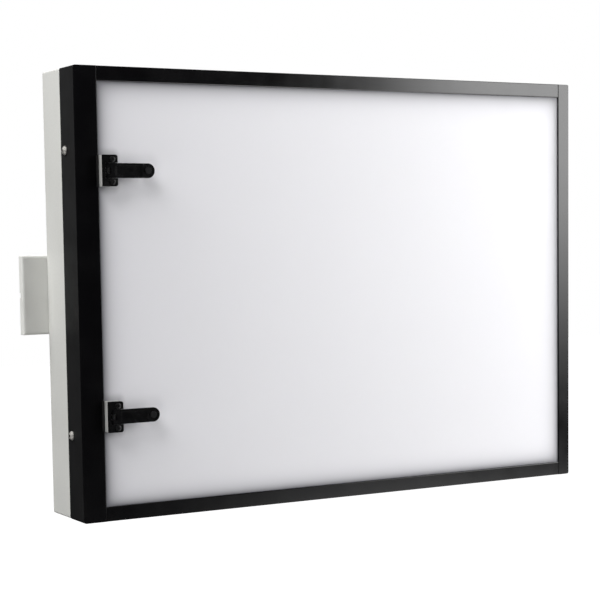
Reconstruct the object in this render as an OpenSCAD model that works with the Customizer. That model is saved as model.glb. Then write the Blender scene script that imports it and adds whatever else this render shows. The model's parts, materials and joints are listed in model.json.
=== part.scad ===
// Upright light table: an opal screen in a black frame, on a grey sheet steel housing
// that hangs on a wall rail. Two sprung film clips stand on the left side of the screen.
// Millimetres. X runs to the right, Y runs back to the wall and Z runs up.
// The origin is the middle of the four wall holes, on the face of the wall.
// "Depth" is measured back from the front face of the frame.

/* [Screen] */
// Width of the lit area
view_w = 610; // [500:5:760]
// Height of the lit area
view_h = 450; // [400:2.5:600]
// Thickness of the opal sheet
screen_t = 3; // [2:0.5:4]

/* [Frame] */
// Width of the left stile, which the film clips stand beside
left_stile_w = 26.5; // [20:0.5:40]
// Width of the right stile
right_stile_w = 16.5; // [14:0.5:30]
// Height of the top rail
top_rail_h = 16; // [15:0.5:30]
// Height of the bottom rail
bottom_rail_h = 16; // [15:0.5:30]
// How far the frame's flanges reach back along the housing
flange_d = 38; // [30:1:45]
// Thickness of the frame's walls
frame_wall = 1.2; // [1:0.1:2]
// Radius of the two lower corners
corner_bottom = 3; // [2.5:0.5:10]
// Radius of the two upper corners
corner_top = 2.5; // [2.5:0.5:10]

/* [Housing] */
// Depth from the front of the frame to the back of the housing
housing_d = 87; // [85:1:110]
// Thickness of the steel sheet
sheet = 1.2; // [1:0.1:1.5]

/* [Film clips] */
// Height of the upper clip above the middle of the housing
clip_upper_z = 131.5; // [60:0.5:180]
// Height of the lower clip, below the middle of the housing
clip_lower_z = -128; // [-180:0.5:-60]
// Width of a clip's base
clip_base_w = 16; // [14:0.5:20]
// Height of a clip's base
clip_base_h = 33; // [30:1:44]
// Width across a clip's arm
clip_arm_h = 15.5; // [12:0.5:18]
// Reach of an arm from its hinge to its tip
clip_reach = 53.5; // [40:0.5:80]

/* [Wall rail] */
// Depth of the rail and its covers
rail_d = 11; // [11:1:20]
// Height of the rail's end covers
cover_h = 86; // [70:1:120]
// How far each end cover stands out past the frame
cover_out = 28.5; // [24:0.5:50]
// Distance between the wall holes, from top to bottom
wall_hole_z = 50; // [40:1:54]

/* [Hidden] */

$fn = 48;
// Overshoot of a cutting shape, so that no skin is left
cut = 1;

// Frame and screen
frame_w = left_stile_w + view_w + right_stile_w;
frame_h = top_rail_h + view_h + bottom_rail_h;
front_y = -(housing_d + rail_d);
left_x = -frame_w / 2;
top_z = frame_h / 2;
view_x0 = left_x + left_stile_w;
view_x1 = view_x0 + view_w;
view_z0 = -top_z + bottom_rail_h;
view_z1 = view_z0 + view_h;
lip_bevel_w = 0.8;
lip_bevel_d = 0.6;
edge_bevel = 0.5;
// How far the opal sheet reaches under the frame
screen_overlap = 6;
gasket_t = 1.5;
gasket_margin = 1;
joint_plate = [18, 2, 5.5];
// Space between a joint plate and the outside of the frame
joint_plate_in = 2.8;

// Housing: its neck slides into the frame, and its body behind the frame is flush with it
housing_gap = 0.2;
neck_in = frame_wall + housing_gap;
neck_x = frame_w / 2 - neck_in;
body_in = 0.3;
body_depth = flange_d + 0.3;
housing_x = frame_w / 2 - body_in;
housing_z = top_z - body_in;
housing_front = frame_wall + screen_t + gasket_t;
back_lip_w = 12;
panel_gap = 0.3;
vent = [34, 4];
vent_pitch = 44;
vent_z = housing_z - 62;
// Slots to each side of the middle one
vents_each_side = 6;

// Fasteners: shank radius, head radius and head height
side_screw = [2.5, 5, 4];
// Radius of the side screws' domes, and of their hex sockets, and the sockets' depth
side_screw_dome = 5.5;
socket_r = 1.8;
socket_d = 2;
side_screw_l = 12;
side_screw_depth = 26;
side_screw_z = [153.5, -149];
side_nut_r = 4;
side_nut_l = 8;
back_screw = [2, 3.8, 2];
back_screw_l = 6;
back_screw_in = 7;
back_screw_places = concat(
    [for (x = [-1, 0, 1], side = [-1, 1]) [x * (housing_x - 30), side * (housing_z - back_screw_in)]],
    [for (x = [-1, 1], side = [-1, 1]) [x * (housing_x - back_screw_in), side * 110]]
);
hook_screw = [2, 3.8, 1.8];
hook_screw_l = 8;
screw_slack = 0.15;
thread_slack = 0.05;
// Cross recess of a screw head: its share of the head's width, its width and its depth
recess_span = 0.55;
recess_w = 1.1;
recess_d = 1.1;

// Lamps: tubes of 26 mm in holders at both ends
lamp_r = 13;
lamp_wall = 0.9;
lamp_l = view_w - 20;
cap_l = 12;
lamp_depth = 46;
lamp_pitch = view_h / 4;
lamp_z = [for (i = [0 : 3]) (1.5 - i) * lamp_pitch];
pin_r = 1.2;
pin_l = 7.2;
pin_z = 6.35;
pin_slack = 0.2;
holder_t = 17.7;
holder_w = 25;
holder_gap = 0.3;

// Reflector: a folded trough behind the lamps
reflector_t = 1;
reflector_front = housing_front + sheet + 1.5;
reflector_back = housing_d - 11;
reflector_front_z = housing_z - 4.5;
reflector_back_z = housing_z - 56;
end_plate_x = lamp_l / 2 + holder_gap + holder_t;

// Electrical parts in the corner under the reflector
panel_depth = housing_d - sheet;
corner_z = housing_z - 27;
side_part_depth = housing_d - 19;
ballast_size = [280, 21, 30];
ballast_x = -230;
ballast_lift = 3;
ballast_tab = [8, 10, 20];
terminal_size = [36, 14, 18];
terminal_x = 190;
terminal_lift = 1;
terminal_pitch = 12;
terminal_hole = [2.4, 6];
earth_x = 150;
earth_lift = 12;
earth_stud_r = 2;
earth_stud_l = 12;
earth_nut_r = 4.2;
earth_nut_t = 4;
inlet_body = [27, 20, 27.5];
inlet_flange = [2.2, 24, 31];
inlet_wall = 1.8;
inlet_recess = 17;
inlet_slack = 0.2;
inlet_pin = [11, 2, 4];
// Places of the three pins, in depth and height from the middle of the inlet
inlet_pin_places = [[-3, -7], [-3, 7], [3, 0]];
switch_flange = [1.6, 15.5, 21.5];
switch_box = [19, 12.6, 18.8];
switch_slack = 0.1;
switch_well = [21, 11, 16.8];
rocker_w = 10.4;
rocker_half = 7.5;
// How far the rocker's face stands in front of its pivot, at its ends and in its middle
rocker_crest = 4.6;
rocker_dip = 3.4;
rocker_tail = [6, 3];
rocker_tilt = 9;
rocker_pivot_x = housing_x - 3;
rocker_pin_r = 1;
rocker_pin_l = 12;
wire_r = 1.4;
wire_sides = 16;
// How far the wires in the corner lie behind the middle of the inlet and the switch
wire_back = 6;
live_wire_x = 226;
ballast_wire_x = [190, 120, 70];
wire_gap = 3;
lamp_wire_back = 4;

// Wall rail
rail_t = 1.5;
rail_x = frame_w / 2 + cover_out - 2.5;
rail_z = cover_h / 2 - 2.5;
rail_front = housing_d + 2.5;
wall_hole_out = 13.5;
wall_hole_x = frame_w / 2 + wall_hole_out;
wall_hole_r = 2.75;
boss_r = 7;
cover_t = 2;
cover_gap = 0.3;
cover_front = housing_d + cover_gap;
cover_bevel = 3;
cover_bevel_d = cover_bevel / 2;
cover_in = 14.5;
cover_notch = [2.5, 5];
hook_x = 180;
hook_w = 30;
hook_t = 2;
hook_up = 22;
hook_screw_up = 13;
hook_screw_x = hook_w / 4;
hook_slot = [34, 3];
tongue_depth = rail_front + rail_t + 0.6;
tongue_l = 14;
bumper_r = 10;
bumper_hole_r = 4.5;
bumper_hole_d = 2;
bumper_x = frame_w / 2 - 46;
bumper_z = frame_h / 2 - 44;

// Film clips
// Space between a clip and the stile
clip_gap = 0.5;
clip_x = view_x0 + clip_gap;
spacer_t = 8.2;
clip_base_t = 5;
clip_corner_r = 2.5;
// Distance from the clip's left edge to the channel that its arm lies in
channel_x = 2;
channel_d = 1;
clip_screen = frame_wall;
clip_base_front = clip_screen - spacer_t - clip_base_t;
arm_t = 2.6;
hinge_x = clip_x + 5;
hinge_depth = clip_base_front + arm_t;
hinge_r = 2.6;
hinge_pin_r = 1.2;
hinge_slack = 0.05;
arm_slack = 0.35;
arm_slot_z = 3.2;
arm_slot_x = 3.5;
arm_tip_x = hinge_x + clip_reach - clip_arm_h / 2;
// Shallow panel in the arm's face: space at its ends and its sides, and its depth
arm_panel_ends = [9, 8];
arm_panel_edge = 2.5;
arm_panel_d = 0.4;
film_gap = 0.3;
pad_r = [4.6, 5.6];
pad_neck = [4, 3];
pad_hole_d = 6;
rivet = [1.5, 3.6, 1];
rivet_slack = 0.1;
rivet_l = 5;
clip_screw = [1.5, 3.2, 1.5];
clip_screw_x = clip_x + 10;
clip_screw_z = clip_base_h / 2 - 4.7;
nut_plate_t = 2;
nut_plate_in = 1;
pin_in = 1;
spring_r = 1.75;
spring_wire_r = 0.35;
spring_leg_r = 0.28;
spring_l = 4.2;
// Legs of the spring: over the screen, inside the arm's slot, and towards the stile
spring_legs = [2.4, 2.8];

frame_black = "#101012";
housing_grey = "#c6c6c2";
steel = "#b9bcc0";

// ---------------------------------------------------------------- helpers

// Extrudes an upright XZ outline back from the given depth
module slab(depth, t)
    translate([0, front_y + depth + t, 0]) rotate([90, 0, 0]) linear_extrude(t) children();

// Extrudes an outline in depth and height along X
module along_x(x0, length)
    translate([x0, front_y, 0]) rotate([90, 0, 90]) linear_extrude(length) children();

// Extrudes an outline in X and depth along Z
module along_z(z0, length)
    translate([0, front_y, z0]) linear_extrude(length) children();

// Box from one corner, with depth in place of Y
module block(corner, size)
    translate([corner[0], front_y + corner[1], corner[2]]) cube(size);

// Cylinder that runs back from the given depth
module back_rod(x, z, depth, r, length)
    translate([x, front_y + depth, z]) rotate([-90, 0, 0]) cylinder(h = length, r = r);

// Cylinder that runs along +X from x
module side_rod(x, depth, z, r, length)
    translate([x, front_y + depth, z]) rotate([0, 90, 0]) cylinder(h = length, r = r);

// Upright rectangle with round corners
module round_rect(x0, x1, z0, z1, r_top, r_bottom) {
    translate([x0, z0 + r_bottom]) square([x1 - x0, z1 - z0 - r_top - r_bottom]);
    translate([x0 + r_bottom, z0]) square([x1 - x0 - 2 * r_bottom, r_bottom + cut]);
    translate([x0 + r_top, z1 - r_top - cut]) square([x1 - x0 - 2 * r_top, r_top + cut]);
    for (x = [x0 + r_bottom, x1 - r_bottom]) translate([x, z0 + r_bottom]) circle(r_bottom);
    for (x = [x0 + r_top, x1 - r_top]) translate([x, z1 - r_top]) circle(r_top);
}

// Domed screw along +Z with a cross recess; its head stands above z = 0
module pan_screw(sizes, shank_l) {
    difference() {
        intersection() {
            cylinder(h = sizes[2], r = sizes[1]);
            translate([0, 0, sizes[2] - 2 * sizes[1]]) sphere(2 * sizes[1]);
        }
        for (a = [0, 90]) rotate([0, 0, a])
            translate([-sizes[1] * recess_span, -recess_w / 2, sizes[2] - recess_d])
                cube([2 * sizes[1] * recess_span, recess_w, 2 * recess_d]);
    }
    translate([0, 0, -shank_l]) cylinder(h = shank_l, r = sizes[0]);
}

// Screw along +Z with a high dome and a hex socket; its head stands above z = 0
module button_screw(sizes, shank_l) {
    difference() {
        intersection() {
            cylinder(h = sizes[2], r = sizes[1]);
            translate([0, 0, sizes[2] - side_screw_dome]) sphere(side_screw_dome);
        }
        translate([0, 0, sizes[2] - socket_d]) cylinder(h = 2 * socket_d, r = socket_r, $fn = 6);
    }
    translate([0, 0, -shank_l]) cylinder(h = shank_l, r = sizes[0]);
}

// Round bar between two points given as [x, depth, z]
module bar(a, b, r) {
    v = b - a;
    translate([a[0], front_y + a[1], a[2]])
        rotate([0, acos(v[2] / norm(v)), atan2(v[1], v[0])]) cylinder(h = norm(v), r = r, $fn = wire_sides);
}

// Round bars along a route, with a ball at each bend
module route(points, r) {
    for (i = [1 : len(points) - 1]) bar(points[i - 1], points[i], r);
    for (i = [1 : len(points) - 2])
        translate([points[i][0], front_y + points[i][1], points[i][2]]) sphere(r, $fn = wire_sides);
}

// ---------------------------------------------------------------- frame

module view_opening(grow)
    translate([view_x0 - grow, view_z0 - grow]) square([view_w + 2 * grow, view_h + 2 * grow]);

module frame_outline(inset)
    round_rect(left_x + inset, -left_x - inset, -top_z + inset, top_z - inset,
               corner_top - inset, corner_bottom - inset);

// The whole frame as one tray with a window, before it is cut into its four members
module frame_shell()
    difference() {
        slab(0, flange_d) frame_outline(0);
        slab(frame_wall, flange_d) frame_outline(frame_wall);
        slab(-cut, frame_wall + 2 * cut) view_opening(0);
    }

// Slope from the face down to the edge of the window, on one side of it
module stile_bevel(x, side)
    along_z(-top_z, frame_h)
        polygon([[x - side * lip_bevel_w, -cut], [x - side * lip_bevel_w, 0], [x, lip_bevel_d],
                 [x + side * cut, lip_bevel_d], [x + side * cut, -cut]]);

module rail_bevel(z, side)
    along_x(view_x0 - cut, view_w + 2 * cut)
        polygon([[-cut, z - side * lip_bevel_w], [0, z - side * lip_bevel_w], [lip_bevel_d, z],
                 [lip_bevel_d, z + side * cut], [-cut, z + side * cut]]);

// Small bevel along the outer front edge of a stile or a rail
module stile_edge(x, side)
    along_z(-top_z, frame_h)
        polygon([[x, edge_bevel], [x - side * edge_bevel, 0], [x - side * edge_bevel, -cut],
                 [x + side * cut, -cut], [x + side * cut, edge_bevel]]);

module rail_edge(z, side)
    along_x(left_x - cut, frame_w + 2 * cut)
        polygon([[edge_bevel, z], [0, z - side * edge_bevel], [-cut, z - side * edge_bevel],
                 [-cut, z + side * cut], [edge_bevel, z + side * cut]]);

module side_screw_holes(x)
    for (z = side_screw_z) side_rod(x, side_screw_depth, z, side_screw[0] + screw_slack, 4 * frame_wall);

module left_stile()
    color(frame_black) difference() {
        intersection() {
            frame_shell();
            block([left_x - cut, -cut, -top_z - cut],
                  [left_stile_w + cut, flange_d + 2 * cut, frame_h + 2 * cut]);
        }
        stile_bevel(view_x0, 1);
        stile_edge(left_x, -1);
        side_screw_holes(left_x - frame_wall);
    }

module right_stile()
    color(frame_black) difference() {
        intersection() {
            frame_shell();
            block([view_x1, -cut, -top_z - cut],
                  [right_stile_w + cut, flange_d + 2 * cut, frame_h + 2 * cut]);
        }
        stile_bevel(view_x1, -1);
        stile_edge(-left_x, 1);
        side_screw_holes(-left_x - 2 * frame_wall);
    }

module frame_rail(z0, h)
    intersection() {
        frame_shell();
        block([view_x0, -cut, z0], [view_w, flange_d + 2 * cut, h]);
    }

module top_rail()
    color(frame_black) difference() {
        frame_rail(view_z1, top_rail_h + cut);
        rail_bevel(view_z1, -1);
        rail_edge(top_z, 1);
    }

module bottom_rail()
    color(frame_black) difference() {
        frame_rail(-top_z - cut, bottom_rail_h + cut);
        rail_bevel(view_z0, 1);
        rail_edge(-top_z, -1);
    }

// Steel straps behind the four butt joints of the frame
module joint_plates()
    color(steel) for (x = [view_x0, view_x1], side = [-1, 1])
        block([x - joint_plate[0] / 2, frame_wall,
               side * (top_z - joint_plate_in - joint_plate[2] / 2) - joint_plate[2] / 2], joint_plate);

module side_screws()
    color("#c9c9cc") for (z = side_screw_z) {
        translate([left_x, front_y + side_screw_depth, z]) rotate([0, -90, 0])
            button_screw(side_screw, side_screw_l);
        translate([-left_x, front_y + side_screw_depth, z]) rotate([0, 90, 0])
            button_screw(side_screw, side_screw_l);
    }

module side_nuts()
    color(steel) for (side = [-1, 1], z = side_screw_z) difference() {
        x0 = side > 0 ? neck_x - sheet - side_nut_l : -neck_x + sheet;
        side_rod(x0, side_screw_depth, z, side_nut_r, side_nut_l);
        side_rod(x0 - cut, side_screw_depth, z, side_screw[0] + thread_slack, side_nut_l + 2 * cut);
    }

// ---------------------------------------------------------------- screen

module clip_holes(depth, t)
    for (cz = [clip_upper_z, clip_lower_z], side = [-1, 1])
        back_rod(clip_screw_x, cz + side * clip_screw_z, depth, clip_screw[0] + screw_slack, t);

module screen()
    color("#f4f4f6") difference() {
        slab(clip_screen, screen_t) view_opening(screen_overlap);
        clip_holes(0, 2 * frame_wall + screen_t);
    }

module gasket()
    color("#3a3a3c") slab(clip_screen + screen_t, gasket_t) difference() {
        view_opening(screen_overlap);
        view_opening(gasket_margin);
    }

// ---------------------------------------------------------------- housing

// Outline that lies inside the frame's own by the inset, with corners that stay a little rounder
module housing_outline(inset)
    round_rect(left_x + inset, -left_x - inset, -top_z + inset, top_z - inset,
               corner_top - inset / 2, corner_bottom - inset / 2);

module housing_neck()
    difference() {
        slab(housing_front, body_depth + sheet - housing_front) housing_outline(neck_in);
        slab(housing_front + sheet, housing_d) housing_outline(neck_in + sheet);
        slab(housing_front - cut, sheet + 2 * cut) view_opening(gasket_margin);
    }

module housing_body()
    difference() {
        slab(body_depth, housing_d - body_depth) housing_outline(body_in);
        slab(body_depth + sheet, housing_d) housing_outline(body_in + sheet);
        slab(body_depth - cut, sheet + 2 * cut) housing_outline(neck_in + sheet);
    }

module back_screw_holes(depth, t)
    for (place = back_screw_places) back_rod(place[0], place[1], depth, back_screw[0] + screw_slack, t);

module housing()
    color(housing_grey) difference() {
        union() {
            housing_neck();
            housing_body();
            slab(panel_depth - sheet, sheet) difference() {
                housing_outline(body_in + sheet / 2);
                square([2 * (housing_x - sheet - back_lip_w), 2 * (housing_z - sheet - back_lip_w)],
                       center = true);
            }
        }
        for (x = [-neck_x - cut, neck_x - sheet - cut], z = side_screw_z)
            side_rod(x, side_screw_depth, z, side_screw[0] + screw_slack, sheet + 2 * cut);
        back_screw_holes(panel_depth - sheet - cut, 2 * sheet + cut);
        block([housing_x - sheet - cut, side_part_depth - inlet_body[1] / 2, -corner_z - inlet_body[2] / 2],
              [sheet + 2 * cut, inlet_body[1], inlet_body[2]]);
        block([housing_x - sheet - cut, side_part_depth - switch_box[1] / 2, corner_z - switch_box[2] / 2],
              [sheet + 2 * cut, switch_box[1], switch_box[2]]);
    }

module back_panel()
    color(housing_grey) difference() {
        slab(panel_depth, sheet) housing_outline(body_in + sheet + panel_gap);
        back_screw_holes(panel_depth - cut, sheet + 2 * cut);
        for (side = [-1, 1], i = [-vents_each_side : vents_each_side])
            block([i * vent_pitch - vent[0] / 2, panel_depth - cut, side * vent_z - vent[1] / 2],
                  [vent[0], sheet + 2 * cut, vent[1]]);
        for (x = [-hook_x, hook_x], side = [-1, 1])
            back_rod(x + side * hook_screw_x, rail_z + hook_screw_up, panel_depth - cut,
                     hook_screw[0] + screw_slack, sheet + 2 * cut);
    }

module back_screws()
    color(steel) for (place = back_screw_places)
        translate([place[0], front_y + housing_d, place[1]]) rotate([-90, 0, 0])
            pan_screw(back_screw, back_screw_l);

// ---------------------------------------------------------------- lamps

// Outline of the trough in depth and height, shrunk by a skin
module trough(skin)
    polygon([[reflector_front, reflector_front_z - skin],
             [reflector_back - skin, reflector_back_z - skin],
             [reflector_back - skin, -reflector_back_z + skin],
             [reflector_front, -reflector_front_z + skin]]);

module reflector()
    color("white") difference() {
        along_x(-end_plate_x, 2 * end_plate_x) trough(0);
        along_x(-end_plate_x - cut, 2 * end_plate_x + 2 * cut) union() {
            trough(reflector_t);
            translate([reflector_front - cut, -reflector_front_z + reflector_t])
                square([cut + reflector_t / 100, 2 * (reflector_front_z - reflector_t)]);
        }
    }

module end_plates()
    color("white") for (x = [-end_plate_x - sheet, end_plate_x]) along_x(x, sheet) trough(0);

module lamp(z)
    color("#f8f8ff") difference() {
        side_rod(-lamp_l / 2 + cap_l, lamp_depth, z, lamp_r, lamp_l - 2 * cap_l);
        side_rod(-lamp_l / 2, lamp_depth, z, lamp_r - lamp_wall, lamp_l);
    }

module lamp_caps()
    color("#b8babd") for (z = lamp_z, side = [-1, 1]) {
        side_rod(side > 0 ? lamp_l / 2 - cap_l : -lamp_l / 2, lamp_depth, z, lamp_r, cap_l);
        for (dz = [-pin_z, pin_z])
            side_rod(side > 0 ? lamp_l / 2 : -lamp_l / 2 - pin_l, lamp_depth, z + dz, pin_r, pin_l);
    }

module lampholders()
    color("white") for (z = lamp_z, side = [-1, 1]) {
        x0 = side > 0 ? lamp_l / 2 + holder_gap : -end_plate_x;
        difference() {
            union() {
                side_rod(x0, lamp_depth, z, holder_w / 2, holder_t);
                block([x0, lamp_depth, z - holder_w / 2],
                      [holder_t, reflector_back - reflector_t - lamp_depth, holder_w]);
            }
            for (dz = [-pin_z, pin_z])
                side_rod(side > 0 ? x0 - cut : x0 + holder_t - pin_l - cut, lamp_depth, z + dz,
                         pin_r + pin_slack, pin_l + 2 * cut);
        }
    }

// ---------------------------------------------------------------- electrical parts

module ballast() {
    low = -corner_z + ballast_lift;
    color("#e8e8e4")
        block([ballast_x, panel_depth - ballast_size[1], low - ballast_size[2] / 2], ballast_size);
    color("#303030") for (x = [ballast_x - ballast_tab[0], ballast_x + ballast_size[0]])
        block([x, panel_depth - ballast_tab[1], low - ballast_tab[2] / 2], ballast_tab);
}

module terminal_block() {
    z = -corner_z + terminal_lift;
    color("#e9e4d4") difference() {
        block([terminal_x, panel_depth - terminal_size[1], z - terminal_size[2] / 2], terminal_size);
        for (i = [-1 : 1])
            back_rod(terminal_x + terminal_size[0] / 2 + i * terminal_pitch, z,
                     panel_depth - terminal_size[1] - cut, terminal_hole[0], terminal_hole[1]);
    }
}

module earth_stud()
    color("#c8a850") {
        z = -corner_z + earth_lift;
        back_rod(earth_x, z, panel_depth - earth_stud_l, earth_stud_r, earth_stud_l);
        translate([earth_x, front_y + panel_depth - earth_nut_t, z]) rotate([-90, 0, 0])
            cylinder(h = earth_nut_t, r = earth_nut_r, $fn = 6);
    }

// Middle of the gap between the housing's side and the end plate of the reflector
function side_gap_x() = (housing_x + end_plate_x) / 2;

module mains_wires() {
    inlet_back = housing_x + inlet_flange[0] - inlet_body[0];
    depth = side_part_depth + wire_back;
    earth_depth = side_part_depth - wire_back;
    low_z = -corner_z - wire_back;
    color("#7a4a28") route([[inlet_back, depth, -corner_z], [live_wire_x, depth, -corner_z]], wire_r);
    color("#2f5fa8") route([[ballast_wire_x[0], depth, -corner_z], [ballast_wire_x[1], depth, -corner_z],
                            [ballast_wire_x[1], depth, low_z], [ballast_wire_x[2], depth, low_z]], wire_r);
    color("#5a9a3c") route([[inlet_back, earth_depth, -corner_z], [earth_x, earth_depth, -corner_z],
                            [earth_x, earth_depth, -corner_z + earth_lift],
                            [earth_x, panel_depth - earth_stud_l, -corner_z + earth_lift]], wire_r);
    color("#7a4a28")
        route([[side_gap_x(), side_part_depth, -corner_z + inlet_body[2] / 2 + wire_gap],
               [side_gap_x(), side_part_depth, corner_z - switch_box[2] / 2 - wire_gap]], wire_r);
}

module lamp_wires() {
    depth = lamp_depth + lamp_wire_back;
    color("#f0f0ee") for (side = [-1, 1]) {
        route([[side * side_gap_x(), depth, -reflector_back_z - wire_back],
               [side * side_gap_x(), depth, lamp_z[0]],
               [side * (end_plate_x + sheet), depth, lamp_z[0]]], wire_r);
        for (i = [1 : 3])
            route([[side * side_gap_x(), depth, lamp_z[i]],
                   [side * (end_plate_x + sheet), depth, lamp_z[i]]], wire_r);
    }
}

// Box in the right wall from x to x + size[0], centred on a height, with a skin taken off its sides
module side_block(x, z, size, skin)
    block([x, side_part_depth - size[1] / 2 + skin, z - size[2] / 2 + skin],
          [size[0], size[1] - 2 * skin, size[2] - 2 * skin]);

// Mains inlet, near the bottom
module inlet() {
    x1 = housing_x + inlet_flange[0];
    color("#141416") difference() {
        union() {
            side_block(x1 - inlet_body[0], -corner_z, inlet_body, inlet_slack);
            side_block(housing_x, -corner_z, inlet_flange, 0);
        }
        side_block(x1 - inlet_recess, -corner_z,
                   [inlet_recess + cut, inlet_body[1], inlet_body[2]], inlet_wall);
    }
}

module inlet_pins()
    color("#d0c8b0") for (place = inlet_pin_places)
        translate([0, place[0], place[1]])
            side_block(housing_x + inlet_flange[0] - inlet_recess, -corner_z, inlet_pin, 0);

module rocker_pin(r, length)
    translate([rocker_pivot_x, front_y + side_part_depth + length / 2, corner_z])
        rotate([90, 0, 0]) cylinder(h = length, r = r);

// Mains switch, near the top
module switch_body()
    color("#141416") difference() {
        union() {
            side_block(housing_x - switch_box[0], corner_z, switch_box, switch_slack);
            side_block(housing_x, corner_z, switch_flange, 0);
        }
        side_block(rocker_pivot_x - switch_well[0] / 2, corner_z, switch_well, 0);
        rocker_pin(rocker_pin_r + hinge_slack, switch_box[1] + 2 * cut);
    }

// Rocker with two faces that meet at its middle; its upper end stands out while it is off
module switch_rocker()
    color("#1c1c1e") {
        translate([rocker_pivot_x, front_y + side_part_depth + rocker_w / 2, corner_z])
            rotate([90, 0, 0]) rotate([0, 0, -rocker_tilt]) linear_extrude(rocker_w)
                polygon([[rocker_crest, -rocker_half], [rocker_dip, 0], [rocker_crest, rocker_half],
                         [-1.5, 0.86 * rocker_half], [-rocker_tail[0], rocker_tail[1]],
                         [-rocker_tail[0], -rocker_tail[1]], [-1.5, -0.86 * rocker_half]]);
        rocker_pin(rocker_pin_r, rocker_pin_l);
    }

// ---------------------------------------------------------------- wall rail

module wall_rail()
    color(housing_grey) difference() {
        union() {
            slab(rail_front, rail_t) square([2 * rail_x, 2 * rail_z], center = true);
            for (z = [-rail_z, rail_z - rail_t])
                block([-rail_x, rail_front, z], [2 * rail_x, housing_d + rail_d - rail_front, rail_t]);
            for (x = [-wall_hole_x, wall_hole_x], z = [-wall_hole_z / 2, wall_hole_z / 2])
                back_rod(x, z, rail_front, boss_r, housing_d + rail_d - rail_front);
        }
        for (x = [-wall_hole_x, wall_hole_x], z = [-wall_hole_z / 2, wall_hole_z / 2])
            back_rod(x, z, rail_front - cut, wall_hole_r, rail_d + cut);
        for (x = [-hook_x, hook_x])
            block([x - hook_slot[0] / 2, rail_front + rail_t, rail_z - rail_t - cut],
                  [hook_slot[0], hook_slot[1], rail_t + 2 * cut]);
    }

// Takes the front edge off a cover, where its face meets the side that lies at x or z
module cover_bevel_x(x)
    along_z(-cover_h / 2 - cut, cover_h + 2 * cut)
        polygon([[x - cover_bevel, cover_front], [x, cover_front + cover_bevel_d],
                 [x + cut, cover_front + cover_bevel_d], [x + cut, housing_d], [x - cover_bevel, housing_d]]);

module cover_bevel_z(x0, length, side) {
    z = cover_h / 2;
    along_x(x0, length)
        polygon([[cover_front, side * (z - cover_bevel)], [cover_front + cover_bevel_d, side * z],
                 [cover_front + cover_bevel_d, side * (z + cut)], [housing_d, side * (z + cut)],
                 [housing_d, side * (z - cover_bevel)]]);
}

// Moulded cover over one end of the rail, with a notch to prise it off by
module end_cover(side) {
    x_out = frame_w / 2 + cover_out;
    x_in = frame_w / 2 - cover_in;
    mirror([side < 0 ? 1 : 0, 0, 0]) difference() {
        block([x_in, cover_front, -cover_h / 2], [x_out - x_in, rail_d - cover_gap, cover_h]);
        block([x_in - cut, cover_front + cover_t, -cover_h / 2 + cover_t],
              [x_out - x_in + cut - cover_t, rail_d, cover_h - 2 * cover_t]);
        cover_bevel_x(x_out);
        for (s = [-1, 1]) cover_bevel_z(x_in - cut, x_out - x_in + 2 * cut, s);
        block([x_out - cover_t - cut, housing_d + rail_d - cover_notch[0], -cover_notch[1] / 2],
              [cover_t + 2 * cut, cover_notch[0] + cut, cover_notch[1]]);
    }
}

module end_cover_left() color("#bfc0b8") end_cover(-1);

module end_cover_right() color("#bfc0b8") end_cover(1);

// Hooks on the back panel, whose tongues drop through the slots in the rail's top
module hang_hooks()
    color(steel) for (x = [-hook_x, hook_x]) difference() {
        along_x(x - hook_w / 2, hook_w)
            polygon([[housing_d, rail_z], [housing_d, rail_z + hook_up],
                     [housing_d + hook_t, rail_z + hook_up],
                     [housing_d + hook_t, rail_z + hook_t], [tongue_depth + hook_t, rail_z + hook_t],
                     [tongue_depth + hook_t, rail_z - tongue_l], [tongue_depth, rail_z - tongue_l],
                     [tongue_depth, rail_z]]);
        for (side = [-1, 1])
            back_rod(x + side * hook_screw_x, rail_z + hook_screw_up, housing_d - cut,
                     hook_screw[0] + screw_slack, hook_t + 2 * cut);
    }

module hook_screws()
    color(steel) for (x = [-hook_x, hook_x], side = [-1, 1])
        translate([x + side * hook_screw_x, front_y + housing_d + hook_t, rail_z + hook_screw_up])
            rotate([-90, 0, 0]) pan_screw(hook_screw, hook_screw_l);

module bumpers()
    color("#2a2a2c") for (x = [-bumper_x, bumper_x], z = [-bumper_z, bumper_z]) difference() {
        back_rod(x, z, housing_d, bumper_r, rail_d);
        back_rod(x, z, housing_d + rail_d - bumper_hole_d, bumper_hole_r, bumper_hole_d + cut);
    }

// ---------------------------------------------------------------- film clips

// Outline of a clip's base: its right corners are round
module clip_outline(cz)
    difference() {
        round_rect(clip_x - 2 * clip_corner_r, clip_x + clip_base_w,
                   cz - clip_base_h / 2, cz + clip_base_h / 2, clip_corner_r, clip_corner_r);
        translate([clip_x - 3 * clip_corner_r, cz - clip_base_h])
            square([3 * clip_corner_r, 2 * clip_base_h]);
    }

module clip_channel(cz, depth, t)
    block([clip_x + channel_x, depth, cz - clip_arm_h / 2 - arm_slack],
          [clip_base_w + cut, t, clip_arm_h + 2 * arm_slack]);

module clip_spacer(cz)
    color("#cfcfca") difference() {
        slab(clip_screen - spacer_t, spacer_t) clip_outline(cz);
        clip_channel(cz, clip_screen - spacer_t - cut, channel_d + cut);
        clip_holes(clip_screen - spacer_t - cut, spacer_t + 2 * cut);
    }

module clip_base(cz)
    color(frame_black) difference() {
        slab(clip_base_front, clip_base_t) clip_outline(cz);
        clip_channel(cz, clip_base_front - cut, clip_base_t + 2 * cut);
        clip_holes(clip_base_front - cut, clip_base_t + 2 * cut);
        translate([hinge_x, front_y + hinge_depth, cz - clip_base_h / 2 - cut])
            cylinder(h = clip_base_h + 2 * cut, r = hinge_pin_r + hinge_slack);
    }

module clip_pin(cz)
    color("#26262a") translate([hinge_x, front_y + hinge_depth, cz - clip_base_h / 2 + pin_in])
        cylinder(h = clip_base_h - 2 * pin_in, r = hinge_pin_r);

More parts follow.
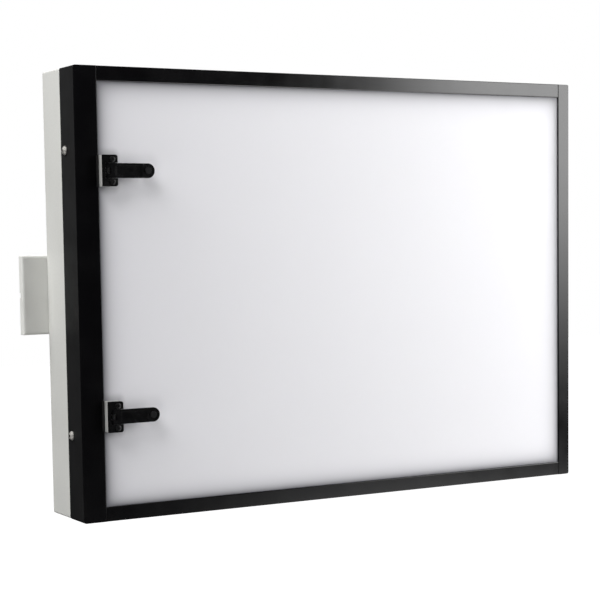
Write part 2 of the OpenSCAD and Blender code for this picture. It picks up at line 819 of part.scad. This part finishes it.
// Arm with two knuckles round the pin and a round tip; it lies along the screen at rest
module clip_arm(cz)
    color(frame_black) difference() {
        union() {
            slab(clip_base_front, arm_t) union() {
                translate([hinge_x, cz - clip_arm_h / 2]) square([arm_tip_x - hinge_x, clip_arm_h]);
                translate([arm_tip_x, cz]) circle(clip_arm_h / 2);
            }
            translate([hinge_x, front_y + hinge_depth, cz - clip_arm_h / 2])
                cylinder(h = clip_arm_h, r = hinge_r);
        }
        block([hinge_x - hinge_r - cut, clip_base_front - cut, cz - arm_slot_z],
              [hinge_r + cut + arm_slot_x, 3 * hinge_r, 2 * arm_slot_z]);
        translate([hinge_x, front_y + hinge_depth, cz - clip_arm_h / 2 - cut])
            cylinder(h = clip_arm_h + 2 * cut, r = hinge_pin_r + hinge_slack);
        block([hinge_x + arm_panel_ends[0], clip_base_front - cut, cz - clip_arm_h / 2 + arm_panel_edge],
              [arm_tip_x - hinge_x - arm_panel_ends[0] - arm_panel_ends[1], cut + arm_panel_d,
               clip_arm_h - 2 * arm_panel_edge]);
        back_rod(arm_tip_x, cz, clip_base_front - cut, rivet[0] + rivet_slack, arm_t + 2 * cut);
    }

module clip_pad(cz)
    color("#2b2b2d") difference() {
        back_rod(arm_tip_x, cz, hinge_depth, pad_r[1], clip_screen - film_gap - hinge_depth);
        back_rod(arm_tip_x, cz, hinge_depth - cut, rivet[0] + rivet_slack, pad_hole_d + cut);
        difference() {
            back_rod(arm_tip_x, cz, hinge_depth + pad_neck[0], pad_r[1] + cut, pad_neck[1]);
            back_rod(arm_tip_x, cz, hinge_depth + pad_neck[0] - cut, pad_r[0], pad_neck[1] + 2 * cut);
        }
    }

module clip_rivet(cz)
    color("#26262a") {
        back_rod(arm_tip_x, cz, clip_base_front - rivet[2], rivet[1], rivet[2]);
        back_rod(arm_tip_x, cz, clip_base_front, rivet[0], arm_t + rivet_l);
    }

// Torsion spring round the hinge pin: a close coil, with a short leg at each end
module clip_spring(cz)
    color("#26262a") translate([hinge_x, front_y + hinge_depth, cz]) {
        difference() {
            translate([0, 0, -spring_l / 2]) cylinder(h = spring_l, r = spring_r + spring_wire_r);
            translate([0, 0, -spring_l]) cylinder(h = 2 * spring_l, r = spring_r - spring_wire_r);
        }
        for (side = [1, -1])
            translate([0, -spring_r, side * (spring_l / 2 - 2 * spring_wire_r)]) rotate([0, side * 90, 0])
                cylinder(h = side > 0 ? spring_legs[0] : spring_legs[1], r = spring_leg_r, $fn = wire_sides);
    }

module clip_screws()
    color("#1a1a1c") for (cz = [clip_upper_z, clip_lower_z], side = [-1, 1])
        translate([clip_screw_x, front_y + clip_base_front, cz + side * clip_screw_z]) rotate([90, 0, 0])
            pan_screw(clip_screw, clip_screen + screen_t + nut_plate_t - clip_base_front);

// Tapped plates behind the opal sheet that the clips' screws go into
module clip_nut_plates()
    color(steel) for (cz = [clip_upper_z, clip_lower_z]) difference() {
        block([clip_x + nut_plate_in, clip_screen + screen_t, cz - clip_base_h / 2 + nut_plate_in],
              [clip_base_w - 2 * nut_plate_in, nut_plate_t, clip_base_h - 2 * nut_plate_in]);
        for (side = [-1, 1])
            back_rod(clip_screw_x, cz + side * clip_screw_z, clip_screen,
                     clip_screw[0] + thread_slack, 3 * screen_t);
    }

left_stile();
right_stile();
top_rail();
bottom_rail();
joint_plates();
side_screws();
side_nuts();
screen();
gasket();
housing();
back_panel();
back_screws();
reflector();
end_plates();
lamp(lamp_z[0]);  // lamp_1
lamp(lamp_z[1]);  // lamp_2
lamp(lamp_z[2]);  // lamp_3
lamp(lamp_z[3]);  // lamp_4
lamp_caps();
lampholders();
ballast();
terminal_block();
earth_stud();
mains_wires();
lamp_wires();
inlet();
inlet_pins();
switch_body();
switch_rocker();
wall_rail();
end_cover_left();
end_cover_right();
hang_hooks();
hook_screws();
bumpers();
clip_spacer(clip_upper_z);  // clip_spacer_upper
clip_base(clip_upper_z);  // clip_base_upper
clip_pin(clip_upper_z);  // clip_pin_upper
clip_spring(clip_upper_z);  // clip_spring_upper
clip_arm(clip_upper_z);  // clip_arm_upper
clip_pad(clip_upper_z);  // clip_pad_upper
clip_rivet(clip_upper_z);  // clip_rivet_upper
clip_spacer(clip_lower_z);  // clip_spacer_lower
clip_base(clip_lower_z);  // clip_base_lower
clip_pin(clip_lower_z);  // clip_pin_lower
clip_spring(clip_lower_z);  // clip_spring_lower
clip_arm(clip_lower_z);  // clip_arm_lower
clip_pad(clip_lower_z);  // clip_pad_lower
clip_rivet(clip_lower_z);  // clip_rivet_lower
clip_screws();
clip_nut_plates();
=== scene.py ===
"""Looks of the upright light table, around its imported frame.

Finished meshes, materials, lights and the camera. Lengths are in metres and angles in degrees.
"""
import json
import math

import bmesh
import bpy
from mathutils import Matrix, Vector


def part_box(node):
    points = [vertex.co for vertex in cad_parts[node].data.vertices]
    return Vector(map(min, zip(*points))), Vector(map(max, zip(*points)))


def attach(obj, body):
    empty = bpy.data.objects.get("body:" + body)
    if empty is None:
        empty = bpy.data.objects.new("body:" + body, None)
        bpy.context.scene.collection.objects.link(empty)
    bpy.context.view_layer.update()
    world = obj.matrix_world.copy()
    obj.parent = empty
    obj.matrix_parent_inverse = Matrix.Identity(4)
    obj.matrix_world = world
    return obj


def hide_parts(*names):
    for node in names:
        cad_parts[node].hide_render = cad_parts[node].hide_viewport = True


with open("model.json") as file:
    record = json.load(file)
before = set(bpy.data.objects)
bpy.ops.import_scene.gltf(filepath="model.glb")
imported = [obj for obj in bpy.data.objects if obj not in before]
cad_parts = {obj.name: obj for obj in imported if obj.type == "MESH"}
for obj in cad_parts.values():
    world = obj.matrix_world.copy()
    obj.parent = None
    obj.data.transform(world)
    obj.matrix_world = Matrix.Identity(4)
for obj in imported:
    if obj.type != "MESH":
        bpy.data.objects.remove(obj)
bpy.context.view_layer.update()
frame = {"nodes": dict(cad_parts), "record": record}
nodes = frame["nodes"]
bodies = frame["record"]["behaviour"]["bodies"]
body_of = {node: body for body, members in bodies.items() for node in members}
slot_of = {part["node"]: part["material_slot"] for part in frame["record"]["subparts"]}
SWITCHGEAR = ("inlet", "switch_body", "switch_rocker")
look_of = {**slot_of, **{node: "switch_black" for node in SWITCHGEAR}}

MM = 0.001
UP = Vector((0, 0, 1))

CAMERA_PLACE = (-0.9972, -1.7321, 0.0607)
CAMERA_TURN, CAMERA_TILT, CAMERA_ROLL = -29.833, 85.211, -0.801
CAMERA_LENS = 100.17
CAMERA_SHIFT = 0.126

# Corners closer together than this are one, and faces this near to flat are joined.
WELD = 0.004 * MM
FLAT_ANGLE = 1.0
# Edges sharper than this are rounded.
BEVEL_ANGLE = 32
BEVEL_SEGMENTS = 3

SPRING_WIRE = 0.3 * MM
SPRING_TURNS = 5
SPRING_STEPS_PER_TURN = 28

# How far the frame's shade reaches over the screen from its left, right, bottom and top sides.
FRAME_SHADE = (8.5 * MM, 7.5 * MM, 7 * MM, 8.5 * MM)
# The same for a clip, as reach and the share of brightness that is left behind it.
CLIP_SHADE = {"clip_base_": (10 * MM, 0.58), "clip_arm_": (16 * MM, 0.87)}
# Painted shade towards the screen's left side: how far it reaches, and the share of brightness left
# at the very edge.
LEFT_SHADE_REACH, LEFT_SHADE_SHARE = 0.2, 0.85

FLOOR_DROP = 1.2
FLOOR_HALF = 14

# Radius in mm of each piece's rounded edges.
ROUNDED = {
    "left_stile": 0.25, "right_stile": 0.25, "top_rail": 0.25, "bottom_rail": 0.25,
    "housing": 0.3, "back_panel": 0.25,
    "end_cover_left": 0.6, "end_cover_right": 0.6, "wall_rail": 0.4,
    "clip_spacer_upper": 0.4, "clip_spacer_lower": 0.4,
    "clip_base_upper": 0.45, "clip_base_lower": 0.45,
    "clip_arm_upper": 0.35, "clip_arm_lower": 0.35,
    "clip_rivet_upper": 0.3, "clip_rivet_lower": 0.3,
    "clip_pad_upper": 0.4, "clip_pad_lower": 0.4,
    "clip_screws": 0.12, "side_screws": 0.2, "back_screws": 0.15, "hook_screws": 0.15,
    "hang_hooks": 0.3, "bumpers": 0.8,
    "inlet": 0.35, "switch_body": 0.35, "switch_rocker": 0.4,
}


# ---------------------------------------------------------------- camera

def add_camera():
    """Stands to the left of the screen, a little above its middle, and looks slightly down."""
    data = bpy.data.cameras.new("camera")
    data.lens = CAMERA_LENS
    data.sensor_width = 36
    data.shift_y = CAMERA_SHIFT
    data.clip_end = 100
    camera = bpy.data.objects.new("camera", data)
    camera.matrix_world = (
        Matrix.Translation(CAMERA_PLACE)
        @ Matrix.Rotation(math.radians(CAMERA_TURN), 4, "Z")
        @ Matrix.Rotation(math.radians(CAMERA_TILT), 4, "X")
        @ Matrix.Rotation(math.radians(CAMERA_ROLL), 4, "Z")
    )
    bpy.context.scene.collection.objects.link(camera)
    bpy.context.scene.camera = camera


# ---------------------------------------------------------------- node helpers

class Shader:
    """A material's node tree, with short ways to add noise, ramps and maths."""

    # Places of the colour sockets on a Mix node.
    MIX_A, MIX_B, MIX_RESULT = 6, 7, 2

    def __init__(self, name):
        self.name = name
        self.material = bpy.data.materials.new(name)
        self.material.use_nodes = True
        self.tree = self.material.node_tree
        self.bsdf = self.tree.nodes["Principled BSDF"]
        self.place = self.add("ShaderNodeTexCoord").outputs["Object"]

    def add(self, kind, **settings):
        node = self.tree.nodes.new(kind)
        for key, value in settings.items():
            setattr(node, key, value)
        return node

    def link(self, source, target):
        if isinstance(source, (int, float)):
            target.default_value = source
        else:
            self.tree.links.new(source, target)

    def set(self, **values):
        """Constant values on the shader's own sockets, with _ for a space in a name."""
        for key, value in values.items():
            self.bsdf.inputs[key.replace("_", " ")].default_value = value

    def math(self, operation, a, b=0.0):
        node = self.add("ShaderNodeMath", operation=operation)
        self.link(a, node.inputs[0])
        self.link(b, node.inputs[1])
        return node.outputs[0]

    def axes(self, vector):
        split = self.add("ShaderNodeSeparateXYZ")
        self.link(vector, split.inputs[0])
        return split.outputs

    def geometry(self, output):
        return self.add("ShaderNodeNewGeometry").outputs[output]

    def stretch(self, scale):
        node = self.add("ShaderNodeMapping")
        self.link(self.place, node.inputs["Vector"])
        node.inputs["Scale"].default_value = scale
        return node.outputs[0]

    def noise(self, scale, detail=3.0, rough=0.5, vector=None):
        node = self.add("ShaderNodeTexNoise")
        self.link(vector or self.place, node.inputs["Vector"])
        node.inputs["Scale"].default_value = scale
        node.inputs["Detail"].default_value = detail
        node.inputs["Roughness"].default_value = rough
        return node.outputs["Fac"]

    def span(self, value, low, high, to_low=0.0, to_high=1.0, smooth=False):
        """Carries low..high over to to_low..to_high, and holds its ends outside that."""
        node = self.add("ShaderNodeMapRange")
        node.interpolation_type = "SMOOTHSTEP" if smooth else "LINEAR"
        self.link(value, node.inputs["Value"])
        self.link(low, node.inputs["From Min"])
        self.link(high, node.inputs["From Max"])
        self.link(to_low, node.inputs["To Min"])
        self.link(to_high, node.inputs["To Max"])
        return node.outputs["Result"]

    def uneven(self, scale, detail, low=0.0, high=1.0):
        """A value that wanders slowly between low and high."""
        return self.span(self.noise(scale, detail), 0.3, 0.7, low, high)

    def blotches(self, scale):
        return self.span(self.noise(scale, 4), 0.35, 0.65)

    def mix(self, factor, a, b):
        """Colour a where factor is 0 and b where it is 1; a and b are colours or sockets."""
        node = self.add("ShaderNodeMix", data_type="RGBA")
        self.link(factor, node.inputs["Factor"])
        for place, value in ((self.MIX_A, a), (self.MIX_B, b)):
            if isinstance(value, tuple):
                node.inputs[place].default_value = (*value, 1.0)
            else:
                self.link(value, node.inputs[place])
        return node.outputs[self.MIX_RESULT]

    def edge(self, radius):
        """1 along sharp edges and corners within the radius, and 0 on flat faces."""
        bevel = self.add("ShaderNodeBevel", samples=6)
        bevel.inputs["Radius"].default_value = radius
        dot = self.add("ShaderNodeVectorMath", operation="DOT_PRODUCT")
        self.link(bevel.outputs["Normal"], dot.inputs[0])
        self.link(self.geometry("Normal"), dot.inputs[1])
        return self.span(self.math("SUBTRACT", 1.0, dot.outputs["Value"]), 0.02, 0.25)

    def colour(self, source):
        self.link(source, self.bsdf.inputs["Base Color"])

    def roughness(self, source):
        self.link(source, self.bsdf.inputs["Roughness"])

    def bump(self, height, strength, distance):
        node = self.add("ShaderNodeBump")
        node.inputs["Strength"].default_value = strength
        node.inputs["Distance"].default_value = distance
        self.link(height, node.inputs["Height"])
        self.link(node.outputs["Normal"], self.bsdf.inputs["Normal"])


# ---------------------------------------------------------------- materials

def coat(s, dark, light, bare, wear):
    """A coat of paint: its colour, and where its edges are rubbed to the metal, which is bare."""
    speck = s.math("MULTIPLY", s.span(s.noise(420, 2), 0.45, 0.6), 0.12)
    paint = s.mix(speck, s.mix(s.blotches(9), dark, light), tuple(0.8 * c for c in dark))
    worn = s.span(s.noise(60, 5, 0.7), 0.5, 0.72, 0.0, wear)
    rub = s.math("MULTIPLY", s.edge(0.7 * MM), worn)
    return s.mix(rub, paint, bare), rub


def orange_peel(s, scale, depth):
    s.bump(s.noise(scale, 2), 0.35, depth)


def painted(name, dark, light, gloss, peel, depth, bare, wear=0.35, shine=0.5):
    """Paint on metal: slow blotches in colour, orange peel, and bare metal where edges rub."""
    s = Shader(name)
    paint, rub = coat(s, dark, light, bare, wear)
    s.colour(paint)
    smoother = s.math("MULTIPLY", rub, -0.1)
    s.roughness(s.math("ADD", s.uneven(35, 5, gloss - 0.05, gloss + 0.06), smoother))
    orange_peel(s, peel, depth)
    s.set(Specular_IOR_Level=shine)
    return s


def frame_paint(name):
    """Black paint: glossy on the frame's face, and matt on the flanges folded back from it, which
    carry a lighter grey as painted light.
    """
    s = Shader(name)
    face, _ = coat(s, (0.0014, 0.0013, 0.0018), (0.0026, 0.0025, 0.003), (0.05, 0.05, 0.05), 0.25)
    facing = s.math("ABSOLUTE", s.axes(s.geometry("True Normal"))["Y"])
    flange = s.span(facing, 0.2, 0.8, 1.0, 0.0)
    # Painted light: the flanges turned sideways are painted a lighter grey than the face.
    flange_painted_light = s.mix(s.uneven(30, 5), (0.009, 0.009, 0.0093), (0.013, 0.013, 0.0133))
    s.colour(s.mix(flange, face, flange_painted_light))
    gloss, matt = s.uneven(35, 5, 0.13, 0.19), s.uneven(50, 5, 0.42, 0.50)
    s.roughness(s.span(flange, 0.0, 1.0, gloss, matt))
    s.link(s.span(flange, 0.0, 1.0, 0.5, 0.12), s.bsdf.inputs["Specular IOR Level"])
    orange_peel(s, 900, 0.003 * MM)
    return s


def moulded(name, dark, light, gloss, grain, depth, shine=0.5):
    """Moulded plastic: fine spark grain, shinier and paler where fingers rub its edges."""
    s = Shader(name)
    rub = s.math("MULTIPLY", s.edge(0.5 * MM), 0.35)
    pale = tuple(min(1.0, 1.6 * c + 0.01) for c in light)
    s.colour(s.mix(rub, s.mix(s.blotches(28), dark, light), pale))
    smoother = s.math("MULTIPLY", rub, 0.3)
    s.roughness(s.math("SUBTRACT", s.uneven(90, 4, gloss - 0.05, gloss + 0.07), smoother))
    s.bump(s.noise(grain, 3, 0.6), 0.5, depth)
    s.set(Specular_IOR_Level=shine)
    return s


def metal(name, dark, light, gloss, brush=None, metallic=1.0, recess_shade=None):
    """Metal with fine brushing or tumbling marks, dull spots, and painted shade darkening its
    recesses if a colour for it is given.
    """
    s = Shader(name)
    s.set(Metallic=metallic)
    marks = s.noise(900, 3, 0.6, s.stretch(brush) if brush else None)
    dull = s.span(s.noise(70, 5, 0.65), 0.45, 0.7)
    finish = s.mix(s.math("MULTIPLY", dull, 0.6), light, dark)
    # Painted shade: recesses such as screw sockets are darkened towards the given colour.
    if recess_shade:
        hollow = s.add("ShaderNodeAmbientOcclusion", samples=8)
        hollow.inputs["Distance"].default_value = 3 * MM
        finish = s.mix(s.span(hollow.outputs["AO"], 0.5, 0.9), recess_shade, finish)
    s.colour(finish)
    marked = s.span(marks, 0.3, 0.7, gloss - 0.06, gloss + 0.08)
    s.roughness(s.math("ADD", marked, s.math("MULTIPLY", dull, 0.12)))
    s.bump(marks, 0.25, 0.02 * MM)
    return s


def rubber(name, dark, light):
    """Matt rubber with a little dust on it."""
    s = Shader(name)
    s.colour(s.mix(s.span(s.noise(140, 5, 0.7), 0.45, 0.75, 0.0, 0.5), dark, light))
    s.roughness(s.uneven(300, 3, 0.7, 0.9))
    s.bump(s.noise(1200, 3), 0.5, 0.05 * MM)
    s.set(Specular_IOR_Level=0.3)
    return s


def window():
    """Lowest and highest corners of the lit area, between the stiles and the rails."""
    low = Vector((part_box("left_stile")[1].x, 0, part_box("bottom_rail")[1].z))
    high = Vector((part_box("right_stile")[0].x, 0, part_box("top_rail")[0].z))
    return low, high


def decay(s, away, reach):
    """1 where away is 0, falling to 1/e at the reach."""
    return s.math("EXPONENT", s.math("DIVIDE", away, -reach))


def near_box(s, x, z, low, high, reach):
    """0 at a box that stands on the screen, and 1 beyond the reach from it."""
    middle, half = (low + high) / 2, (high - low) / 2
    squares = []
    for along, centre, size in ((x, middle.x, half.x), (z, middle.z, half.z)):
        from_centre = s.math("ABSOLUTE", s.math("SUBTRACT", along, centre))
        outside = s.math("MAXIMUM", s.math("SUBTRACT", from_centre, size), 0.0)
        squares.append(s.math("MULTIPLY", outside, outside))
    return s.span(s.math("SQRT", s.math("ADD", *squares)), 0.0, reach, smooth=True)


def opal(name):
    """Satin opal acrylic, with painted shade by the frame, behind the clips and towards the left.
    """
    s = Shader(name)
    low, high = window()
    place = s.axes(s.place)
    x, z = place["X"], place["Z"]
    left, right = s.math("SUBTRACT", x, low.x), s.math("SUBTRACT", high.x, x)
    bottom, top = s.math("SUBTRACT", z, low.z), s.math("SUBTRACT", high.z, z)
    # Painted shade: the screen grows darker towards its left edge. glow carries all the painted
    # light and shade on the screen.
    glow = s.span(decay(s, left, LEFT_SHADE_REACH), 0.0, 1.0, 1.0, LEFT_SHADE_SHARE)
    # Painted shade along the frame's four sides.
    for away, reach in zip((left, right, bottom, top), FRAME_SHADE):
        glow = s.math("MULTIPLY", glow, s.math("SUBTRACT", 1.0, decay(s, away, reach)))
    # Painted shadow around each clip's base and arm.
    for which in ("upper", "lower"):
        for part, (reach, share) in CLIP_SHADE.items():
            clear = near_box(s, x, z, *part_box(part + which), reach)
            glow = s.math("MULTIPLY", glow, s.span(clear, 0.0, 1.0, share, 1.0))
    glow = s.math("MULTIPLY", glow, s.uneven(5, 3, 0.985, 1.0))
    s.colour(s.mix(glow, (0.12, 0.12, 0.135), (0.90, 0.895, 0.93)))
    s.roughness(s.uneven(45, 4, 0.46, 0.52))
    s.bump(s.noise(700, 2), 0.2, 0.01 * MM)
    s.set(Subsurface_Weight=0.25, Subsurface_Scale=4 * MM, Subsurface_Radius=(1.0, 1.0, 1.05))
    return s


def lamp_glass(name):
    """Glass tube coated inside with white phosphor, greyer at its ends."""
    s = Shader(name)
    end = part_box("lamp_1")[1].x
    from_middle = s.math("ABSOLUTE", s.axes(s.place)["X"])
    old = s.math("MULTIPLY", s.span(from_middle, end - 22 * MM, end, smooth=True), 0.6)
    grain = s.span(s.noise(400, 3), 0.4, 0.6, 0.0, 0.12)
    s.colour(s.mix(s.math("MAXIMUM", old, grain), (0.93, 0.93, 0.95), (0.42, 0.41, 0.42)))
    s.roughness(s.uneven(60, 3, 0.08, 0.16))
    s.set(Coat_Weight=0.6, Coat_Roughness=0.05)
    return s


def make_materials():
    made = (
        frame_paint("frame_black"),
        painted("housing_grey", dark=(0.58, 0.58, 0.555), light=(0.62, 0.62, 0.593), gloss=0.48,
                peel=620, depth=0.05 * MM, bare=(0.38, 0.38, 0.37)),
        opal("opal"),
        moulded("cover_grey", dark=(0.68, 0.68, 0.65), light=(0.72, 0.72, 0.69), gloss=0.55,
                grain=1500, depth=0.05 * MM),
        moulded("spacer_grey", dark=(0.34, 0.34, 0.33), light=(0.38, 0.38, 0.37), gloss=0.5,
                grain=1500, depth=0.04 * MM),
        moulded("clip_black", dark=(0.0016, 0.0016, 0.0018), light=(0.0028, 0.0028, 0.0032),
                gloss=0.24, grain=1700, depth=0.01 * MM, shine=0.22),
        moulded("switch_black", dark=(0.014, 0.014, 0.0145), light=(0.024, 0.024, 0.025),
                gloss=0.36, grain=1500, depth=0.03 * MM),
        painted("black_steel", dark=(0.0025, 0.0025, 0.003), light=(0.0045, 0.0045, 0.005),
                gloss=0.4, peel=1400, depth=0.006 * MM, bare=(0.04, 0.04, 0.04), wear=0.3,
                shine=0.2),
        metal("bright_steel", dark=(0.22, 0.21, 0.195), light=(0.36, 0.35, 0.33), gloss=0.55,
              metallic=0.45, recess_shade=(0.01, 0.009, 0.008)),
        metal("zinc_steel", dark=(0.34, 0.35, 0.37), light=(0.60, 0.61, 0.63), gloss=0.36),
        painted("white_paint", dark=(0.84, 0.84, 0.84), light=(0.88, 0.88, 0.88), gloss=0.3,
                peel=500, depth=0.03 * MM, bare=(0.5, 0.5, 0.5)),
        lamp_glass("lamp_glass"),
        metal("lamp_metal", dark=(0.5, 0.5, 0.52), light=(0.72, 0.73, 0.75), gloss=0.35,
              brush=(1, 40, 40)),
        moulded("white_plastic", dark=(0.78, 0.78, 0.75), light=(0.84, 0.84, 0.81), gloss=0.42,
                grain=1500, depth=0.03 * MM),
        metal("brass", dark=(0.42, 0.30, 0.14), light=(0.78, 0.60, 0.30), gloss=0.28),
        moulded("cable", dark=(0.55, 0.55, 0.54), light=(0.66, 0.66, 0.65), gloss=0.4,
                grain=700, depth=0.02 * MM),
        rubber("rubber", dark=(0.012, 0.012, 0.012), light=(0.06, 0.058, 0.055)),
    )
    return {shader.name: shader.material for shader in made}


# ---------------------------------------------------------------- meshes

def link_piece(name, mesh, node):
    """Adds a piece that stands for the node, in its finish and on its body."""
    piece = bpy.data.objects.new(name, mesh)
    bpy.context.scene.collection.objects.link(piece)
    mesh.materials.clear()
    mesh.materials.append(materials[look_of[node]])
    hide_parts(node)
    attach(piece, body_of[node])
    return piece


def mesh_from(bm, name):
    mesh = bpy.data.meshes.new(name + "_mesh")
    bm.to_mesh(mesh)
    bm.free()
    mesh.shade_smooth()
    return mesh


def clean_copy(node):
    """The node's mesh with its triangles joined back into flat faces."""
    bm = bmesh.new()
    bm.from_mesh(nodes[node].data)
    bmesh.ops.remove_doubles(bm, verts=bm.verts, dist=WELD)
    flat = math.radians(FLAT_ANGLE)
    bmesh.ops.dissolve_limit(bm, angle_limit=flat, verts=bm.verts, edges=bm.edges)
    return mesh_from(bm, node)


def refine(node, radius):
    """Stands a copy of the node with rounded edges in its place."""
    piece = link_piece(node + "_finish", clean_copy(node), node)
    bevel = piece.modifiers.new("round", "BEVEL")
    bevel.width = radius
    bevel.segments = BEVEL_SEGMENTS
    bevel.limit_method = "ANGLE"
    bevel.angle_limit = math.radians(BEVEL_ANGLE)
    bevel.use_clamp_overlap = True
    bevel.miter_outer = "MITER_ARC"
    flat = piece.modifiers.new("flat", "WEIGHTED_NORMAL")
    flat.weight = 100
    flat.keep_sharp = False


def swept(name, points, radius, sides=10):
    """Mesh of a round wire along a smooth path."""
    bm = bmesh.new()
    turns = [2 * math.pi * k / sides for k in range(sides)]
    rings = []
    across = UP
    for i, point in enumerate(points):
        ahead = (points[min(i + 1, len(points) - 1)] - points[max(i - 1, 0)]).normalized()
        across = (across - ahead * ahead.dot(across)).normalized()
        side = ahead.cross(across)
        around = [radius * (across * math.cos(t) + side * math.sin(t)) for t in turns]
        rings.append([bm.verts.new(point + offset) for offset in around])
    for near, far in zip(rings, rings[1:]):
        for k in range(sides):
            after = (k + 1) % sides
            bm.faces.new((near[k], near[after], far[after], far[k]))
    bm.faces.new(reversed(rings[0]))
    bm.faces.new(rings[-1])
    bmesh.ops.recalc_face_normals(bm, faces=bm.faces)
    return mesh_from(bm, name)


def add_spring(which):
    """Close-wound torsion spring with its two legs, in place of the plain sleeve."""
    node = "clip_spring_" + which
    low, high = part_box(node)
    pin_low, pin_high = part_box("clip_pin_" + which)
    middle = (pin_low + pin_high) / 2
    radius = (high.y - low.y) / 2 - SPRING_WIRE
    rise = high.z - low.z - 4 * SPRING_WIRE
    steps = SPRING_TURNS * SPRING_STEPS_PER_TURN
    path = [Vector((low.x + SPRING_WIRE, middle.y - radius, middle.z - rise / 2))]
    for i in range(steps + 1):
        turn = 2 * math.pi * SPRING_TURNS * i / steps
        out = Vector((radius * math.sin(turn), -radius * math.cos(turn), rise * (i / steps - 0.5)))
        path.append(middle + out)
    path.append(Vector((high.x - SPRING_WIRE, middle.y - radius, middle.z + rise / 2)))
    link_piece(node + "_coil", swept(node, path, SPRING_WIRE), node)


# ---------------------------------------------------------------- light

def fade_rim(tree, fade):
    """Dims a light towards its rim, over those shares of its width and its height."""
    across = tree.nodes.new("ShaderNodeSeparateXYZ")
    face = tree.nodes.new("ShaderNodeNewGeometry")
    tree.links.new(face.outputs["Parametric"], across.inputs[0])
    strength = None
    for axis, share in zip("XY", fade):
        for start, end in ((0.0, share), (1.0, 1.0 - share)):
            ramp = tree.nodes.new("ShaderNodeMapRange")
            ramp.interpolation_type = "SMOOTHSTEP"
            ramp.inputs["From Min"].default_value = start
            ramp.inputs["From Max"].default_value = end
            tree.links.new(across.outputs[axis], ramp.inputs["Value"])
            if strength is None:
                strength = ramp.outputs["Result"]
                continue
            product = tree.nodes.new("ShaderNodeMath")
            product.operation = "MULTIPLY"
            tree.links.new(strength, product.inputs[0])
            tree.links.new(ramp.outputs["Result"], product.inputs[1])
            strength = product.outputs[0]
    tree.links.new(strength, tree.nodes["Emission"].inputs["Strength"])


def add_softbox(name, turn, rise, distance, size, glow, fade=(0.12, 0.12)):
    """Soft light that faces the screen's middle, turned from straight ahead towards +X and raised.

    Glow is the radiance of its middle.
    """
    data = bpy.data.lights.new(name, "AREA")
    data.shape = "RECTANGLE"
    data.size, data.size_y = size
    data.energy = glow * data.size * data.size_y * math.pi
    data.use_nodes = True
    fade_rim(data.node_tree, fade)
    turn, rise = math.radians(turn), math.radians(rise)
    ahead = math.cos(rise)
    away = Vector((math.sin(turn) * ahead, -math.cos(turn) * ahead, math.sin(rise)))
    light = bpy.data.objects.new(name, data)
    light.location = Vector((0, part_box("screen")[0].y, 0)) + away * distance
    light.rotation_euler = away.to_track_quat("Z", "Y").to_euler()
    light.visible_camera = False
    bpy.context.scene.collection.objects.link(light)


def add_world():
    """White to the eye, while it lights the object only dimly."""
    world = bpy.data.worlds.new("surround")
    bpy.context.scene.world = world
    world.use_nodes = True
    tree = world.node_tree
    shown, dim = tree.nodes["Background"], tree.nodes.new("ShaderNodeBackground")
    shown.inputs["Color"].default_value = (1, 1, 1, 1)
    shown.inputs["Strength"].default_value = 1.0
    dim.inputs["Color"].default_value = (0.97, 0.98, 1.0, 1)
    dim.inputs["Strength"].default_value = 0.02
    mix, path = tree.nodes.new("ShaderNodeMixShader"), tree.nodes.new("ShaderNodeLightPath")
    tree.links.new(path.outputs["Is Camera Ray"], mix.inputs["Fac"])
    tree.links.new(dim.outputs[0], mix.inputs[1])
    tree.links.new(shown.outputs[0], mix.inputs[2])
    tree.links.new(mix.outputs[0], tree.nodes["World Output"].inputs["Surface"])


def add_floor():
    """White studio floor, well below the wall-hung part; it throws no light back up at it."""
    s = Shader("floor")
    s.colour(s.mix(s.uneven(0.8, 3), (0.90, 0.90, 0.90), (0.94, 0.94, 0.94)))
    s.roughness(s.uneven(3, 3, 0.6, 0.75))
    s.set(Emission_Color=(1, 1, 1, 1), Emission_Strength=1.05)
    s.material.cycles.emission_sampling = "NONE"
    mesh = bpy.data.meshes.new("floor_mesh")
    corners = [(FLOOR_HALF * x, FLOOR_HALF * y, 0) for x, y in ((-1, -1), (1, -1), (1, 1), (-1, 1))]
    mesh.from_pydata(corners, [], [(0, 1, 2, 3)])
    mesh.materials.append(s.material)
    floor = bpy.data.objects.new("floor", mesh)
    floor.location.z = -FLOOR_DROP
    floor.visible_diffuse = floor.visible_glossy = False
    bpy.context.scene.collection.objects.link(floor)


def add_lights():
    add_softbox("softbox_right", turn=54, rise=15, distance=1.98, size=(1.66, 1.9), glow=7.2,
                fade=(0.24, 0.4))
    add_softbox("side_fill_right", turn=72, rise=4, distance=1.3, size=(0.8, 1.6), glow=1.6)
    add_softbox("softbox_left", turn=-80, rise=46, distance=2.3, size=(2.2, 1.5), glow=8.5)
    add_softbox("floor_bounce_left", turn=-80, rise=-40, distance=2.4, size=(2.4, 1.6), glow=9.0,
                fade=(0.2, 0.2))
    add_softbox("floor_bounce", turn=53, rise=-37.5, distance=2.2, size=(3.0, 2.2), glow=3.6,
                fade=(0.4, 0.2))
    add_softbox("top_light", turn=10, rise=68, distance=2.2, size=(1.8, 1.2), glow=0.8)
    add_softbox("back_light_right", turn=158, rise=30, distance=2.6, size=(1.8, 1.6), glow=6.2)
    add_softbox("back_light_left", turn=-159, rise=6, distance=2.6, size=(1.5, 1.3), glow=0.3,
                fade=(0.4, 0.4))


# ---------------------------------------------------------------- scene

add_camera()
materials = make_materials()
for name, obj in nodes.items():
    if not obj.material_slots:
        obj.data.materials.append(materials[look_of[name]])
    for slot in obj.material_slots:
        slot.material = materials[look_of[name]]

for name, radius in ROUNDED.items():
    refine(name, radius * MM)
for which in ("upper", "lower"):
    add_spring(which)

add_floor()
add_world()
add_lights()
bpy.context.scene.view_settings.view_transform = "Standard"
